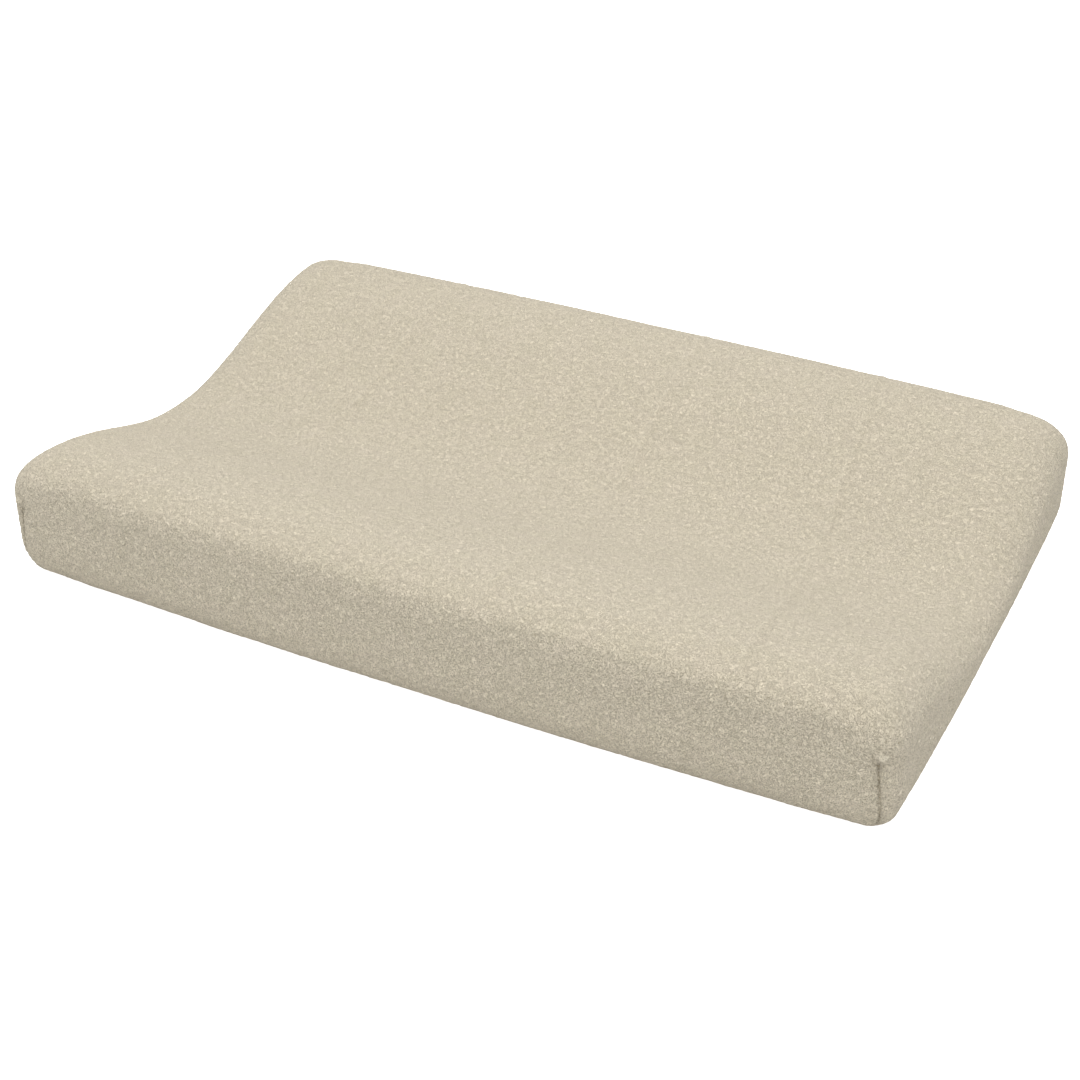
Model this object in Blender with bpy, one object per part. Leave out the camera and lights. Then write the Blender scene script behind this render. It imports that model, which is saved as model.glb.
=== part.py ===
"""Contoured changing pad: a foam core in a zipped wipe-clean liner, in a fitted terry cover.

Metres, +Z up. The origin is the bottom centre, +X runs along the pad and +Y to its rear long side.
The pad is low in the middle and raised along both long sides, and it is open at both ends. The
liner's zip runs along X on the underside. Its slider slides along X and its pull tab turns about Y.
"""

from math import asin, cos, pi, sin

import bmesh
import bpy

MM = 0.001

# Outer shape of the covered pad
LENGTH = 0.700
WIDTH = 0.445
CREST_HEIGHT = 0.100
VALLEY_HEIGHT = 0.052
CREST_OFFSET = 0.195  # distance from the centre line at which the long sides are highest
SIDE_BULGE = 8 * MM  # how far the long sides bow out at the middle
END_BULGE = 3 * MM
CORNER_RADIUS = 25 * MM  # of the upright corners, seen from above

# Rounding of the edges
TOP_ROUND_SIDE = 30 * MM
TOP_ROUND_END = 60 * MM
TOP_DROP = 20 * MM
TOP_CORNER_RADIUS = 12 * MM
BOTTOM_ROUND = 18 * MM
BOTTOM_RISE = 28 * MM
BOTTOM_CORNER_RADIUS = 30 * MM

# Layers, from the outside in
TERRY = 1.8 * MM
GAP = 0.6 * MM
LINER = 0.8 * MM
LINER_DEPTH = TERRY + GAP
FOAM_DEPTH = LINER_DEPTH + LINER + GAP
LINER_CORNER_RADIUS = 31 * MM
LINER_BASE = 7.0 * MM
FOAM_BASE = 9.4 * MM

# Cover hem under the pad
OPENING_INSET = 55 * MM
OPENING_RADIUS = 60 * MM
CASING_WIDTH = 22 * MM
CASING_HEIGHT = 4.8 * MM
CASING_SLOT = 1.6 * MM
ELASTIC_WIDTH = 10 * MM
ELASTIC_THICKNESS = 1.0 * MM
ELASTIC_RADIUS = 50.5 * MM
ELASTIC_GAP = 3 * MM  # between the band and the casing's inner fold

# Corner dart seams of the cover
SEAM_DEPTH = 3.0 * MM
SEAM_THICKNESS = 1.6 * MM
SEAM_LOW = 31 * MM
SEAM_HIGH = 73 * MM

# Liner piping
WELT_RADIUS = 1.6 * MM
WELT_INSET = 17 * MM
WELT_HEIGHT = 7.2 * MM

# Zip, a number 5 coil zip
ZIP_WINDOW_LENGTH = 0.528  # opening between the two bottom panels
ZIP_WINDOW_WIDTH = 18 * MM
TAPE_LENGTH = 0.522
TAPE_WIDTH = 13 * MM
TAPE_THICKNESS = 0.6 * MM
TAPE_BASE = 8.1 * MM
TAPE_EDGE = 1.0 * MM  # distance of a tape's inner edge from the centre line
COIL_LENGTH = 0.500
COIL_WIDTH = 2.5 * MM
COIL_HEIGHT = 2.0 * MM
COIL_BASE = 5.8 * MM
COIL_EDGE = 0.5 * MM
STOP_LENGTH = 2.2 * MM
STOP_GAP = 0.3 * MM
ZIP_RELIEF_WIDTH = 17 * MM
ZIP_RELIEF_TOP = 11.2 * MM
GARAGE_LENGTH = 20 * MM
GARAGE_WIDTH = 30 * MM
GARAGE_THICKNESS = 0.7 * MM

# Slider and pull tab. The slider's origin is the middle of its lower plate's underside.
SLIDER_LENGTH = 10 * MM
SLIDER_WIDTH = 11 * MM
SLIDER_BASE = 4.7 * MM
SLIDER_PLATE = 0.8 * MM
SLIDER_REST_X = COIL_LENGTH / 2 - SLIDER_LENGTH / 2 - 0.5 * MM
FLANGE_WIDTH = 2.1 * MM
FLANGE_HEIGHT = 2.1 * MM
TOP_PLATE_BASE = 9.0 * MM
TOP_PLATE_WIDTH = 8.4 * MM
BLADE_LENGTH = 3.5 * MM
BLADE_THICKNESS = 0.4 * MM
BAIL_LENGTH = 3.6 * MM
BAIL_WIDTH = 2.4 * MM
BAIL_DROP = 3.2 * MM
BAIL_WIRE = 0.8 * MM
PULL_LENGTH = 25 * MM
PULL_WIDTH = 7 * MM
PULL_THICKNESS = 1.2 * MM
PULL_AXIS_HEIGHT = 3.2 * MM
PULL_SLOT_LENGTH = 4.4 * MM
PULL_SLOT_WIDTH = 3.2 * MM

# Care label, sewn to the hem at the -X end, clear of the pull tab's path
LABEL_OFFSET = 90 * MM
LABEL_LENGTH = 35 * MM
LABEL_WIDTH = 20 * MM
LABEL_THICKNESS = 0.6 * MM
LABEL_BASE = 2.0 * MM

# Resolution of the faceted solids. CORNER_ARC is even: a corner's middle starts a new side.
LONG_STEPS = 6
SHORT_STEPS = 10
ELASTIC_STEPS = 3
CORNER_ARC = 4
CORNER_SPAN = 40 * MM
CORNER_STEPS = CORNER_ARC + 2
TOP_STEPS = 3
BOTTOM_STEPS = 3
WELT_STEPS = 6

# The half sizes of the outline without its bulge
HALF_X = LENGTH / 2 - END_BULGE
HALF_Y = WIDTH / 2 - SIDE_BULGE


def clear_scene():
    for old in list(bpy.data.objects):
        bpy.data.objects.remove(old, do_unlink=True)


def make_material(name, color, roughness, metallic=0.0):
    material = bpy.data.materials.new(name)
    material.use_nodes = True
    shader = material.node_tree.nodes["Principled BSDF"]
    shader.inputs["Base Color"].default_value = (*color, 1.0)
    shader.inputs["Roughness"].default_value = roughness
    shader.inputs["Metallic"].default_value = metallic
    material.diffuse_color = (*color, 1.0)
    return material


def add_object(name, bm, material, location=(0, 0, 0), parent=None):
    """Turns a bmesh into a placed object, with faces out and round parts shaded smooth."""
    bmesh.ops.recalc_face_normals(bm, faces=bm.faces)
    if bm.calc_volume(signed=True) < 0:
        bmesh.ops.reverse_faces(bm, faces=bm.faces)
    mesh = bpy.data.meshes.new(name)
    bm.to_mesh(mesh)
    bm.free()
    mesh.shade_smooth()
    mesh.set_sharp_from_angle(angle=pi / 5)
    mesh.materials.append(material)
    made = bpy.data.objects.new(name, mesh)
    bpy.context.scene.collection.objects.link(made)
    made.location = location
    made.parent = parent
    return made


def box_bmesh(low, high):
    """A box between two corners."""
    bm = bmesh.new()
    bmesh.ops.create_cube(bm, size=1)
    for vertex in bm.verts:
        vertex.co = [(a + b) / 2 + c * (b - a) for a, b, c in zip(low, high, vertex.co)]
    return bm


def prism_bmesh(points, step):
    """A flat outline, given as 3-D points, pushed along the vector step."""
    bm = bmesh.new()
    face = bm.faces.new([bm.verts.new(point) for point in points])
    pushed = bmesh.ops.extrude_face_region(bm, geom=[face])["geom"]
    moved = [item for item in pushed if isinstance(item, bmesh.types.BMVert)]
    bmesh.ops.translate(bm, verts=moved, vec=step)
    return bm


def combine(target, operation, bm):
    """Adds a live Boolean to target. Its second shape is a hidden helper in target's own frame."""
    helper = add_object(
        f"{target.name}_helper_{len(target.modifiers)}",
        bm,
        target.data.materials[0],
        target.location,
        target.parent,
    )
    helper.hide_render = True
    helper.display_type = "WIRE"
    modifier = target.modifiers.new(operation.lower(), "BOOLEAN")
    modifier.operation = operation
    modifier.object = helper


def section_height(y):
    """Height of the pad's top at a distance y from the centre line, the same all along X."""
    rise = (1 - cos(pi * min(abs(y) / CREST_OFFSET, 1))) / 2
    return VALLEY_HEIGHT + (CREST_HEIGHT - VALLEY_HEIGHT) * rise


def side_points(half_length, half_depth, radius, steps):
    """One side of a rounded rectangle, at y = -half_depth, from corner middle to corner middle.

    The straight part's points start CORNER_SPAN in from the corners whatever the radius is, so
    that the facets of layers with other corner radii stay parallel.
    """
    half_corner = [i * pi / 2 / CORNER_ARC for i in range(CORNER_ARC // 2 + 1)]
    points = []
    for turn in half_corner:
        x = radius * cos(1.25 * pi + turn) + radius - half_length
        points.append((x, radius * (1 + sin(1.25 * pi + turn)) - half_depth))
    for i in range(steps + 1):
        points.append(((half_length - CORNER_SPAN) * (2 * i / steps - 1), -half_depth))
    for turn in half_corner[:-1]:
        x = radius * cos(1.5 * pi + turn) - radius + half_length
        points.append((x, radius * (1 + sin(1.5 * pi + turn)) - half_depth))
    return points


def outline(side_inset, end_inset, radius, long_steps=LONG_STEPS, short_steps=SHORT_STEPS):
    """The pad's bowed outline seen from above, moved in by side_inset and end_inset."""
    half_x = HALF_X - end_inset
    half_y = HALF_Y - side_inset
    front = side_points(half_x, half_y, radius, long_steps)
    right = side_points(half_y, half_x, radius, short_steps)
    plain = front + [(-y, x) for x, y in right]
    plain += [(-x, -y) for x, y in plain]
    bowed = []
    for x, y in plain:
        grow_x = 1 + END_BULGE / HALF_X * (1 - (y / HALF_Y) ** 2)
        grow_y = 1 + SIDE_BULGE / HALF_Y * (1 - (x / HALF_X) ** 2)
        bowed.append((x * grow_x, y * grow_y))
    return bowed


def level_ring(inset, radius, height):
    """An outline at one height."""
    return [(x, y, height) for x, y in outline(inset, inset, radius)]


def bottom_rings(depth, base, wall_radius, first_inset=BOTTOM_ROUND):
    """Rings round the pad's bottom edge, from first_inset out to the wall."""
    start = asin(1 - (first_inset - depth) / (BOTTOM_ROUND - depth))
    turns = [start] + [pi / 2 * i / BOTTOM_STEPS for i in range(1, BOTTOM_STEPS + 1)]
    rings = []
    for turn in turns:
        inset = depth + (BOTTOM_ROUND - depth) * (1 - sin(turn))
        radius = wall_radius + (BOTTOM_CORNER_RADIUS - wall_radius) * (1 - sin(turn))
        rings.append(level_ring(inset, radius, base + (BOTTOM_RISE - base) * (1 - cos(turn))))
    return rings


def top_rings(depth, wall_radius):
    """Rings round the pad's top edge, from the wall in to the edge of the top surface."""
    rings = []
    for i in range(TOP_STEPS + 1):
        turn = pi / 2 * i / TOP_STEPS
        inward = 1 - cos(turn)
        side_inset = depth + (TOP_ROUND_SIDE - depth) * inward
        end_inset = depth + (TOP_ROUND_END - depth) * inward
        radius = wall_radius + (TOP_CORNER_RADIUS - wall_radius) * inward
        drop = depth + (TOP_DROP - depth) * (1 - sin(turn))
        points = outline(side_inset, end_inset, radius)
        rings.append([(x, y, section_height(y) - drop) for x, y in points])
    return rings


def top_grid(ring, depth):
    """Rows of points that fill a top ring: each side of the ring is one side of the grid."""
    across = LONG_STEPS + CORNER_STEPS
    along = SHORT_STEPS + CORNER_STEPS
    front = ring[: across + 1]
    right = ring[across : across + along + 1]
    rear = ring[across + along : 2 * across + along + 1][::-1]
    left = (ring[2 * across + along :] + ring[:1])[::-1]
    rows = []
    for j in range(1, along):
        v = j / along
        row = []
        for i in range(1, across):
            u = i / across
            point = []
            for k in (0, 1):
                sides = (1 - v) * front[i][k] + v * rear[i][k]
                ends = (1 - u) * left[j][k] + u * right[j][k]
                near = (1 - u) * front[0][k] + u * front[-1][k]
                far = (1 - u) * rear[0][k] + u * rear[-1][k]
                point.append(sides + ends - (1 - v) * near - v * far)
            row.append((point[0], point[1], section_height(point[1]) - depth))
        rows.append(row)
    return rows


def join_loops(bm, low, high):
    """A band of quads between two loops of vertices. Every skin is built upwards, so the quads of
    neighbouring skins split along the same diagonal."""
    for i in range(len(low)):
        bm.faces.new((low[i - 1], low[i], high[i], high[i - 1]))


def add_rings(bm, rings, closed=False):
    """Joins rings of equal length and returns their loops of vertices."""
    loops = [[bm.verts.new(point) for point in ring] for ring in rings]
    for low, high in zip(loops, loops[1:]):
        join_loops(bm, low, high)
    if closed:
        join_loops(bm, loops[-1], loops[0])
    return loops


def add_top(bm, loop, ring, depth):
    """Closes a top ring with the contoured grid."""
    across = LONG_STEPS + CORNER_STEPS
    along = SHORT_STEPS + CORNER_STEPS
    inner = [[bm.verts.new(point) for point in row] for row in top_grid(ring, depth)]
    grid = [loop[: across + 1]]
    for j, row in enumerate(inner, start=1):
        grid.append([loop[-j], *row, loop[across + j]])
    grid.append(loop[across + along : 2 * across + along + 1][::-1])
    for near, far in zip(grid, grid[1:]):
        for i in range(across):
            bm.faces.new((near[i], near[i + 1], far[i + 1], far[i]))


def hem_rings():
    """The cover's turned-under margin: in along the floor, round the casing, and out again."""
    hem_top = CASING_HEIGHT
    slot_top = TERRY + CASING_SLOT
    profile = [
        (OPENING_INSET, 0),
        (OPENING_INSET, hem_top),
        (OPENING_INSET - CASING_WIDTH, hem_top),
        (OPENING_INSET - CASING_WIDTH, slot_top),
        (OPENING_INSET - TERRY, slot_top),
        (OPENING_INSET - TERRY, TERRY),
    ]
    spread = (OPENING_RADIUS - BOTTOM_CORNER_RADIUS) / (OPENING_INSET - BOTTOM_ROUND)
    rings = []
    for inset, height in profile:
        radius = BOTTOM_CORNER_RADIUS + spread * (inset - BOTTOM_ROUND)
        rings.append(level_ring(inset, radius, height))
    return rings


def add_cover_shell(material):
    """One terry sheet: the top, the sides and the margin with its open elastic casing."""
    outer_top = top_rings(0, CORNER_RADIUS)
    inner_radius = CORNER_RADIUS - TERRY
    inner_top = top_rings(TERRY, inner_radius)
    outer = bottom_rings(0, 0, CORNER_RADIUS) + outer_top
    inner = bottom_rings(TERRY, TERRY, inner_radius) + inner_top
    bm = bmesh.new()
    outer_loops = add_rings(bm, outer)
    hem_loops = add_rings(bm, hem_rings())
    inner_loops = add_rings(bm, inner)
    join_loops(bm, outer_loops[0], hem_loops[0])
    join_loops(bm, hem_loops[-1], inner_loops[0])
    add_top(bm, outer_loops[-1], outer_top[-1], 0)
    add_top(bm, inner_loops[-1], inner_top[-1], TERRY)
    return add_object("cover_shell", bm, material)


def add_cover_seam(name, side_x, side_y, material):
    """The overlocked edge of a corner dart: a strip that stands inwards from the corner."""
    corner_x, corner_y = outline(TERRY, TERRY, CORNER_RADIUS - TERRY)[0]
    foot_x = side_x * (abs(corner_x) - GAP)
    foot_y = side_y * (abs(corner_y) - GAP)
    half = SEAM_THICKNESS / 2 * cos(pi / 4)
    reach = SEAM_DEPTH * cos(pi / 4)
    corners = []
    for along, across in ((0, -half), (0, half), (reach, half), (reach, -half)):
        x = foot_x - side_x * (along + across)
        y = foot_y - side_y * (along - across)
        corners.append((x, y, SEAM_LOW))
    return add_object(name, prism_bmesh(corners, (0, 0, SEAM_HIGH - SEAM_LOW)), material)


def add_cover_elastic(material):
    """A closed flat band that lies in the casing, near its inner fold."""
    inner = OPENING_INSET - TERRY - ELASTIC_GAP
    outer = inner - ELASTIC_WIDTH
    low = TERRY + (CASING_SLOT - ELASTIC_THICKNESS) / 2
    high = low + ELASTIC_THICKNESS
    rings = []
    for inset, height in ((outer, low), (inner, low), (inner, high), (outer, high)):
        loop = outline(inset, inset, ELASTIC_RADIUS, ELASTIC_STEPS, ELASTIC_STEPS)
        rings.append([(x, y, height) for x, y in loop])
    bm = bmesh.new()
    add_rings(bm, rings, closed=True)
    return add_object("cover_elastic", bm, material)


def add_care_label(material):
    start = -HALF_X + OPENING_INSET + GAP
    low = (start, LABEL_OFFSET - LABEL_WIDTH / 2, LABEL_BASE)
    high = (start + LABEL_LENGTH, LABEL_OFFSET + LABEL_WIDTH / 2, LABEL_BASE + LABEL_THICKNESS)
    return add_object("care_label", box_bmesh(low, high), material)


def add_liner_top(material):
    """Coated fabric over the foam's top and sides, down to the piping."""
    edge = WELT_INSET - WELT_RADIUS - GAP
    inner_depth = LINER_DEPTH + LINER
    inner_radius = LINER_CORNER_RADIUS - LINER
    outer_top = top_rings(LINER_DEPTH, LINER_CORNER_RADIUS)
    inner_top = top_rings(inner_depth, inner_radius)
    outer = bottom_rings(LINER_DEPTH, LINER_BASE, LINER_CORNER_RADIUS, edge) + outer_top
    inner = bottom_rings(inner_depth, LINER_BASE + LINER, inner_radius, edge) + inner_top
    bm = bmesh.new()
    outer_loops = add_rings(bm, outer)
    inner_loops = add_rings(bm, inner)
    join_loops(bm, outer_loops[0], inner_loops[0])
    add_top(bm, outer_loops[-1], outer_top[-1], LINER_DEPTH)
    add_top(bm, inner_loops[-1], inner_top[-1], inner_depth)
    return add_object("liner_top", bm, material)


def add_liner_bottom(name, side, material):
    """The flat panel on one side of the zip, cut back round the zip's window."""
    inset = WELT_INSET + WELT_RADIUS + GAP
    edge = outline(inset, inset, BOTTOM_CORNER_RADIUS)
    end_x = max(x for x, y in edge)
    seam_y = GAP / 2
    window_x = ZIP_WINDOW_LENGTH / 2
    window_y = ZIP_WINDOW_WIDTH / 2
    outer = [(x, side * y) for x, y in edge if side * y > seam_y]
    outer.sort(key=lambda point: -point[0])
    panel = [(end_x, seam_y), *outer, (-end_x, seam_y)]
    panel += [(-window_x, seam_y), (-window_x, window_y), (window_x, window_y), (window_x, seam_y)]
    points = [(x, side * y, LINER_BASE) for x, y in panel]
    return add_object(name, prism_bmesh(points, (0, 0, LINER)), material)


def add_liner_welt(material):
    """Piping in the seam between the liner's top and its bottom panels."""
    rings = []
    for i in range(WELT_STEPS):
        turn = 2 * pi * i / WELT_STEPS
        inset = WELT_INSET + WELT_RADIUS * cos(turn)
        rings.append(level_ring(inset, BOTTOM_CORNER_RADIUS, WELT_HEIGHT + WELT_RADIUS * sin(turn)))
    bm = bmesh.new()
    add_rings(bm, rings, closed=True)
    return add_object("liner_welt", bm, material)


def add_foam_core(material):
    """One contour-cut block, with a shallow relief in its base over the zip."""
    radius = LINER_CORNER_RADIUS - LINER - GAP
    top = top_rings(FOAM_DEPTH, radius)
    bm = bmesh.new()
    loops = add_rings(bm, bottom_rings(FOAM_DEPTH, FOAM_BASE, radius) + top)
    bm.faces.new(loops[0])
    add_top(bm, loops[-1], top[-1], FOAM_DEPTH)
    core = add_object("foam_core", bm, material)
    half_x = ZIP_WINDOW_LENGTH / 2
    half_y = ZIP_RELIEF_WIDTH / 2
    relief = box_bmesh((-half_x, -half_y, 0), (half_x, half_y, ZIP_RELIEF_TOP))
    combine(core, "DIFFERENCE", relief)
    return core


def add_zip_strip(name, side, length, inner, outer, base, top, material):
    """A straight strip beside the centre line."""
    near, far = sorted((side * inner, side * outer))
    return add_object(name, box_bmesh((-length / 2, near, base), (length / 2, far, top)), material)


def add_zip_chain(tape_material, coil_material):
    for word, side in (("front", -1), ("rear", 1)):
        add_zip_strip(
            f"zip_tape_{word}",
            side,
            TAPE_LENGTH,
            TAPE_EDGE,
            TAPE_EDGE + TAPE_WIDTH,
            TAPE_BASE,
            TAPE_BASE + TAPE_THICKNESS,
            tape_material,
        )
        add_zip_strip(
            f"zip_coil_{word}",
            side,
            COIL_LENGTH,
            COIL_EDGE,
            COIL_EDGE + COIL_WIDTH,
            COIL_BASE,
            COIL_BASE + COIL_HEIGHT,
            coil_material,
        )


def add_zip_stops(material):
    """Two top stops at the closed end, one on each row, and one bottom stop across both rows."""
    start = COIL_LENGTH / 2 + STOP_GAP
    outer = COIL_EDGE + COIL_WIDTH
    top = COIL_BASE + COIL_HEIGHT
    for word, side in (("front", -1), ("rear", 1)):
        near, far = sorted((side * COIL_EDGE, side * outer))
        bm = box_bmesh((start, near, COIL_BASE), (start + STOP_LENGTH, far, top))
        add_object(f"zip_top_stop_{word}", bm, material)
    bm = box_bmesh((-start - STOP_LENGTH, -outer, COIL_BASE), (-start, outer, top))
    add_object("zip_bottom_stop", bm, material)


def add_zip_garages(material):
    """Fabric tabs under both ends of the zip."""
    start = COIL_LENGTH / 2 + 2 * STOP_GAP + STOP_LENGTH
    top = LINER_BASE - GAP
    for word, side in (("left", -1), ("right", 1)):
        near, far = sorted((side * start, side * (start + GARAGE_LENGTH)))
        low = (near, -GARAGE_WIDTH / 2, top - GARAGE_THICKNESS)
        high = (far, GARAGE_WIDTH / 2, top)
        add_object(f"zip_garage_{word}", box_bmesh(low, high), material)


def slider_channel():
    """The slider's lower plate with a flange along each side, as a channel open at the top."""
    half = SLIDER_WIDTH / 2
    inner = half - FLANGE_WIDTH
    top = SLIDER_PLATE + FLANGE_HEIGHT
    profile = [(-half, 0), (half, 0), (half, top), (inner, top)]
    profile += [(inner, SLIDER_PLATE), (-inner, SLIDER_PLATE), (-inner, top), (-half, top)]
    points = [(-SLIDER_LENGTH / 2, y, z) for y, z in profile]
    return prism_bmesh(points, (SLIDER_LENGTH, 0, 0))


def slider_bail():
    """The loop under the slider that holds the pull tab."""
    half = BAIL_LENGTH / 2
    inner = half - BAIL_WIRE
    bite = SLIDER_PLATE / 2
    profile = [(-half, bite), (-half, -BAIL_DROP), (half, -BAIL_DROP), (half, bite)]
    profile += [(inner, bite), (inner, BAIL_WIRE - BAIL_DROP), (-inner, BAIL_WIRE - BAIL_DROP), (-inner, bite)]
    points = [(x, -BAIL_WIDTH / 2, z) for x, z in profile]
    return prism_bmesh(points, (0, BAIL_WIDTH, 0))


def add_zip_slider(material):
    """Two plates joined by a thin blade that runs between the two rows of the coil."""
    slider = add_object("zip_slider", slider_channel(), material, (SLIDER_REST_X, 0, SLIDER_BASE))
    half_x = SLIDER_LENGTH / 2
    plate_low = TOP_PLATE_BASE - SLIDER_BASE
    bite = SLIDER_PLATE / 2
    half_y = TOP_PLATE_WIDTH / 2
    blade_low = (half_x - BLADE_LENGTH - bite, -BLADE_THICKNESS / 2, bite)
    blade_high = (half_x - bite, BLADE_THICKNESS / 2, plate_low + bite)
    combine(slider, "UNION", box_bmesh(blade_low, blade_high))
    plate = box_bmesh((-half_x, -half_y, plate_low), (half_x, half_y, plate_low + SLIDER_PLATE))
    combine(slider, "UNION", plate)
    combine(slider, "UNION", slider_bail())
    return slider


def add_zip_pull(slider, material):
    """The pull tab. Its end bar passes through the bail, and the tab's origin is that bar's axis."""
    half_y = PULL_WIDTH / 2
    half_bar = PULL_THICKNESS / 2
    bm = box_bmesh((-PULL_LENGTH, -half_y, -half_bar), (half_bar, half_y, half_bar))
    location = (0, 0, PULL_AXIS_HEIGHT - SLIDER_BASE)
    pull = add_object("zip_pull", bm, material, location, slider)
    slot_low = (-half_bar - PULL_SLOT_LENGTH, -PULL_SLOT_WIDTH / 2, -PULL_THICKNESS)
    slot_high = (-half_bar, PULL_SLOT_WIDTH / 2, PULL_THICKNESS)
    combine(pull, "DIFFERENCE", box_bmesh(slot_low, slot_high))
    return pull


def build():
    clear_scene()
    terry = make_material("terry_sand", (0.64, 0.58, 0.47), 0.95)
    thread = make_material("thread_sand", (0.46, 0.41, 0.33), 0.9)
    coated = make_material("coated_white", (0.86, 0.86, 0.84), 0.45)
    foam = make_material("foam_cream", (0.90, 0.85, 0.68), 0.95)
    band = make_material("elastic_white", (0.82, 0.81, 0.78), 0.85)
    woven = make_material("woven_white", (0.84, 0.84, 0.82), 0.8)
    nylon = make_material("nylon_white", (0.88, 0.88, 0.86), 0.35)
    metal = make_material("nickel", (0.66, 0.65, 0.63), 0.3, 1.0)

    add_cover_shell(terry)
    for word_y, side_y in (("front", -1), ("rear", 1)):
        for word_x, side_x in (("left", -1), ("right", 1)):
            add_cover_seam(f"cover_seam_{word_y}_{word_x}", side_x, side_y, thread)
    add_cover_elastic(band)
    add_care_label(woven)
    add_liner_top(coated)
    add_liner_bottom("liner_bottom_front", -1, coated)
    add_liner_bottom("liner_bottom_rear", 1, coated)
    add_liner_welt(coated)
    add_foam_core(foam)
    add_zip_chain(woven, nylon)
    add_zip_stops(metal)
    add_zip_garages(coated)
    slider = add_zip_slider(metal)
    add_zip_pull(slider, metal)


build()
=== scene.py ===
"""Looks of the contoured changing pad: terry cover, zipped liner and foam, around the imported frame."""

import itertools
from math import cos, pi, radians, sin

import bmesh
import bpy
import numpy as np
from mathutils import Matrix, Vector


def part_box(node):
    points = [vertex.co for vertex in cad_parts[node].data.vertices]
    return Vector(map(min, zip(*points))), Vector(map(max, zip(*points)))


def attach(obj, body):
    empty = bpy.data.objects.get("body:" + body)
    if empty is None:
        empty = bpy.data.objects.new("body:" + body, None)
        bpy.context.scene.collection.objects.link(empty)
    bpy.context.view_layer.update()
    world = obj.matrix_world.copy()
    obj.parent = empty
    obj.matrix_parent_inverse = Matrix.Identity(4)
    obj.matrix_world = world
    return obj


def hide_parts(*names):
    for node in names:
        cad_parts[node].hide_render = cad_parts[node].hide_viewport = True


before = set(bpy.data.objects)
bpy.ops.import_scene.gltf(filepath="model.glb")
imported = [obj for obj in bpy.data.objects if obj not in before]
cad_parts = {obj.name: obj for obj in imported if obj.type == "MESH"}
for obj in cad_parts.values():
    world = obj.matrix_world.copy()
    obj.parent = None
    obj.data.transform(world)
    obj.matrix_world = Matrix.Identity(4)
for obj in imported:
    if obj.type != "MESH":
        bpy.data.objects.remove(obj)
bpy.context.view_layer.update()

MM = 0.001

# The covered pad, measured on the frame
COVER_LOW, COVER_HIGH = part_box("cover_shell")
LENGTH = COVER_HIGH.x - COVER_LOW.x
WIDTH = COVER_HIGH.y - COVER_LOW.y
HEIGHT = COVER_HIGH.z

# Shape of the covered pad
CREST = HEIGHT - 1 * MM
VALLEY = 0.0508
CREST_OFFSET = 0.198
SIDE_BULGE = 8.1 * MM
END_BULGE = 3.4 * MM
CORNER_RADIUS = 16 * MM
TOP_CORNER_RADIUS = 15 * MM
BOTTOM_CORNER_RADIUS = 12 * MM
TOP_ROUND_SIDE = 24.5 * MM
TOP_ROUND_END = 38 * MM
TOP_DROP = 15.5 * MM
END_WALL_LOW = 31 * MM  # top of the end walls, in the middle and at the raised sides
END_WALL_HIGH = 68 * MM
BOTTOM_ROUND = 13.5 * MM
BOTTOM_RISE = 26.2 * MM
OPENING_INSET = 55 * MM
OPENING_RADIUS = 60 * MM
HALF_X = LENGTH / 2 - END_BULGE
HALF_Y = WIDTH / 2 - SIDE_BULGE - 0.9 * MM

# The cover's cloth
CLOTH_STEP = 5 * MM  # spacing of the simulated mesh
CLOTH_PRESSURE = 0.8
CLOTH_FRAMES = 20
CLOTH_CAP = 1.2 * MM
SWELL_ROOM = 0.2 * MM  # the skin starts this much inside its final shape
REFINE_LEVELS = 2

# Corner darts
SEAM_LOW = 6 * MM
SEAM_HIGH = 61 * MM

# Terry colours, from the gaps between the loops to the loops' tips, with painted light and shade: the gaps'
# darkness is painted shade, and the walls' pair spreads wider than the top's, painted shade in the gaps and
# painted highlight on the tips for light falling across the walls
TERRY_SIDE_COLOURS_WITH_PAINTED_SHADE = ((0.30, 0.262, 0.187, 1), (0.79, 0.714, 0.565, 1))
TERRY_TOP_COLOURS_WITH_PAINTED_SHADE = ((0.42, 0.372, 0.280, 1), (0.71, 0.638, 0.498, 1))

# Layers under the terry: how far each one's skin lies inside the cover's
LINING_DEPTH = 1.6 * MM
LINER_DEPTH = 3.2 * MM
FOAM_DEPTH = 4.8 * MM
FOAM_LIFT = 2.4 * MM  # the foam's floor, above the bottom of its CAD box
HEM_BACK = 1.8 * MM  # height of the inner face of the margin under the pad

# Elastic band across its width: inset and rise in millimetres
ELASTIC_PROFILE = (
    (40, -0.35),
    (45, -0.4),
    (50, -0.35),
    (50.3, 0),
    (50, 0.35),
    (45, 0.4),
    (40, 0.35),
    (39.7, 0),
)
ELASTIC_RIPPLE = 0.25 * MM

# Liner, zip and stitches
PANEL_INSET = 19.2 * MM
PANEL_RADIUS = 20 * MM
PANEL_ROWS = 30
WINDOW_HALF_WIDTH = 9 * MM
PIPING_INSET_MM = 17
PIPING_RADIUS = 1.55 * MM
COIL_PITCH = 1.9 * MM
COIL_WIRE = 0.35 * MM
THREAD_RADIUS = 0.18 * MM
OVERLOCK_TURNS = 17
OVERLOCK_RADIUS = 1.0 * MM

# Camera and light
CAMERA_AZIMUTH = radians(26.8)
CAMERA_ELEVATION = radians(32.68)
CAMERA_DISTANCE = 1.526
CAMERA_LENS = 65.33
CAMERA_LEFT = 0.00746
CAMERA_UP = 0.00461
LAMP_PLACE = (0.15, -0.35, 2.2)
LAMP_SIZE = 2.4
LAMP_WATTS = 52
SKY_STRENGTH = 0.70
FLOOR_SHADE = (0.78, 0.78, 0.78, 1)
FLOOR_GLOW = 0.12
FLOOR_GLOW_TO_CAMERA = 0.9  # keeps the floor white in the picture without lighting the pad more


# ---------------------------------------------------------------- noise

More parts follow.
